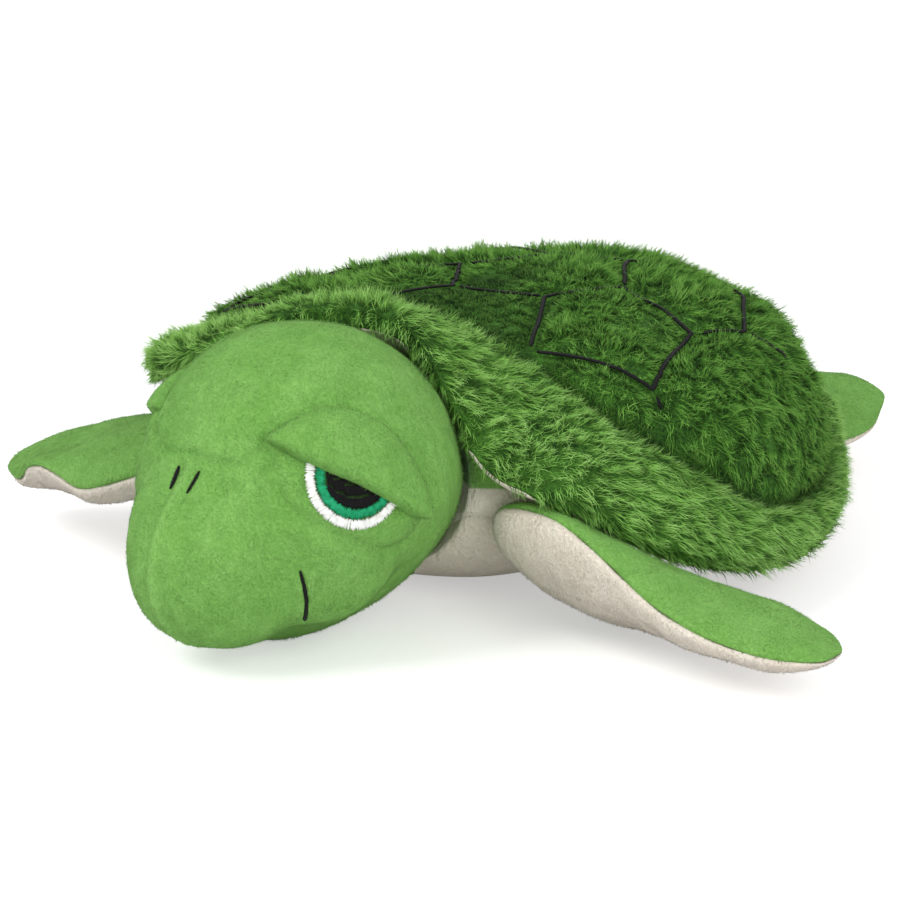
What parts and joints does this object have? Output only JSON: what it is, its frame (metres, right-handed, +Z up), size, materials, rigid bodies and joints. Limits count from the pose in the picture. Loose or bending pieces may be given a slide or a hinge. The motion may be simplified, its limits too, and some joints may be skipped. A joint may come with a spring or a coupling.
{
  "type": "plush turtle",
  "caption": "Stuffed plush sea turtle lying flat, with a furry domed shell in a padded rim, a round head with half-closed eyes, and flippers that flap.",
  "frame": {"origin": "on the floor, on the belly's flat patch under the middle of the shell", "axes": "+Z up, -Y towards the head, +X towards the turtle's own left"},
  "size_m": [0.3444, 0.3761, 0.1076],
  "materials": {
    "leaf_plush": "short pile plush, light leaf green",
    "shell_plush": "long pile plush, dark green",
    "rim_plush": "long pile plush, mid green",
    "cream_plush": "short pile plush, cream",
    "stuffing": "white polyester fibre filling",
    "white_thread": "satin stitched embroidery thread",
    "teal_thread": "satin stitched embroidery thread",
    "black_thread": "satin stitched embroidery thread"
  },
  "bodies": {
    "body": {"body_filling": "stuffing", "back_cover": "leaf_plush", "belly_cover": "cream_plush", "shell_dome_filling": "stuffing", "shell_dome_cover": "shell_plush", "shell_rim_filling": "stuffing", "shell_rim_cover": "rim_plush", "shell_rim_lining": "cream_plush", "scute_ring_left": "black_thread", "scute_ring_right": "black_thread", "scute_arc_left": "black_thread", "scute_arc_right": "black_thread", "scute_tail_left": "black_thread", "scute_tail_right": "black_thread", "scute_front_tail": "black_thread", "scute_front_bar": "black_thread", "scute_rear_bar": "black_thread"},
    "neck": {"neck_filling": "stuffing", "neck_cover": "leaf_plush"},
    "head": {"head_filling": "stuffing", "head_crown_cover": "leaf_plush", "head_cheek_cover_left": "leaf_plush", "head_cheek_cover_right": "leaf_plush", "beak_cover_left": "leaf_plush", "beak_cover_right": "leaf_plush", "eye_pupil_left": "black_thread", "eye_pupil_right": "black_thread", "eye_iris_left": "teal_thread", "eye_iris_right": "teal_thread", "eye_white_left": "white_thread", "eye_white_right": "white_thread", "eyelid_left": "leaf_plush", "eyelid_right": "leaf_plush", "nostril_stitch_left": "black_thread", "nostril_stitch_right": "black_thread", "mouth_stitch_left": "black_thread", "mouth_stitch_right": "black_thread"},
    "front_left_flipper": {"front_left_flipper_filling": "stuffing", "front_left_flipper_top": "leaf_plush", "front_left_flipper_underside": "cream_plush"},
    "front_right_flipper": {"front_right_flipper_filling": "stuffing", "front_right_flipper_top": "leaf_plush", "front_right_flipper_underside": "cream_plush"},
    "rear_left_flipper": {"rear_left_flipper_filling": "stuffing", "rear_left_flipper_top": "leaf_plush", "rear_left_flipper_underside": "cream_plush"},
    "rear_right_flipper": {"rear_right_flipper_filling": "stuffing", "rear_right_flipper_top": "leaf_plush", "rear_right_flipper_underside": "cream_plush"}
  },
  "joints": [
    {"name": "neck_turn", "type": "hinge", "parent": "body", "child": "neck", "pos_m": [0, -0.137, 0.0532], "axis": [0, 0, 1], "range_deg": [-15, 15], "stiffness_Nm_per_rad": 0.3},
    {"name": "head_nod", "type": "hinge", "parent": "neck", "child": "head", "pos_m": [0, -0.137, 0.0532], "axis": [0.9848, -0.1736, 0], "range_deg": [-15, 10], "stiffness_Nm_per_rad": 0.4},
    {"name": "front_left_flap", "type": "hinge", "parent": "body", "child": "front_left_flipper", "pos_m": [0.05681, -0.09994, 0.03555], "axis": [-0.0698, -0.9976, 0], "range_deg": [-35, 0], "stiffness_Nm_per_rad": 0.12},
    {"name": "front_right_flap", "type": "hinge", "parent": "body", "child": "front_right_flipper", "pos_m": [-0.06089, -0.10835, 0.04735], "axis": [0.2079, 0.9781, 0], "range_deg": [-18, 6], "stiffness_Nm_per_rad": 0.12},
    {"name": "rear_left_flap", "type": "hinge", "parent": "body", "child": "rear_left_flipper", "pos_m": [0.05522, 0.0809, 0.01875], "axis": [0.9781, -0.2079, 0], "range_deg": [-40, 6], "stiffness_Nm_per_rad": 0.12},
    {"name": "rear_right_flap", "type": "hinge", "parent": "body", "child": "rear_right_flipper", "pos_m": [-0.05522, 0.0809, 0.01875], "axis": [0.9781, 0.2079, 0], "range_deg": [-40, 10], "stiffness_Nm_per_rad": 0.12}
  ]
}
